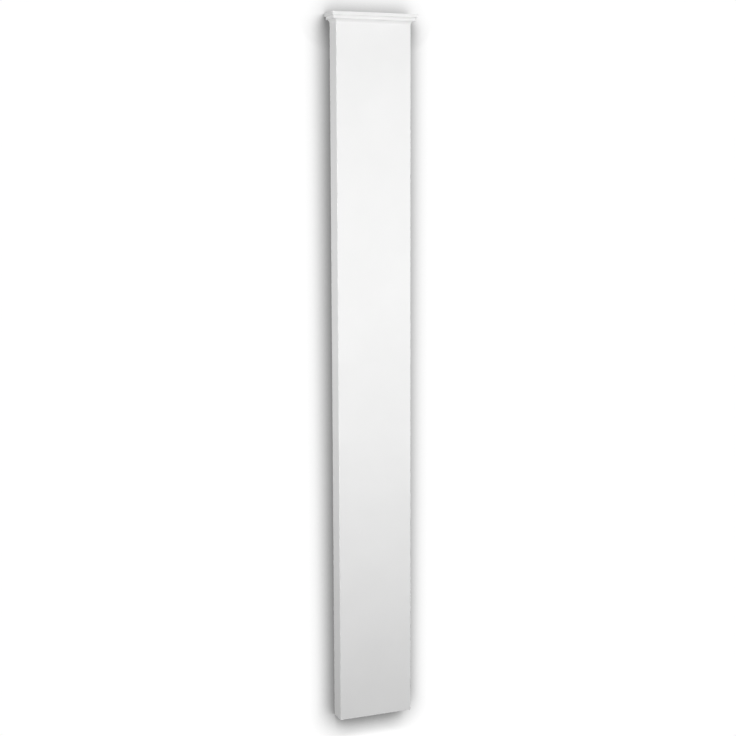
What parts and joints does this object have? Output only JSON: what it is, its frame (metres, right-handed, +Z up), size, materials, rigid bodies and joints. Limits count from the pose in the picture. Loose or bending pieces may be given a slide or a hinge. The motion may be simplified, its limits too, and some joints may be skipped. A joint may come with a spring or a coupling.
{
  "type": "pilaster shaft",
  "caption": "Plain rectangular wall pilaster shaft with a small cap moulding, fillet, fascia and cove, mitred round its front and sides; flat back and square-cut ends.",
  "frame": {"origin": "on the wall plane, at the middle of the back face's bottom edge", "axes": "+Z up the shaft, -Y out of the wall towards the viewer, +X across the face to the viewer's right"},
  "size_m": [0.252, 0.066, 2],
  "materials": {
    "primed_foam": "smooth white satin primer over cast rigid polyurethane foam; the back is bare sanded foam, and the two cut ends are sanded foam under a thin coat of primer"
  },
  "bodies": {
    "root": {"pilaster_shaft": "primed_foam"}
  },
  "joints": []
}
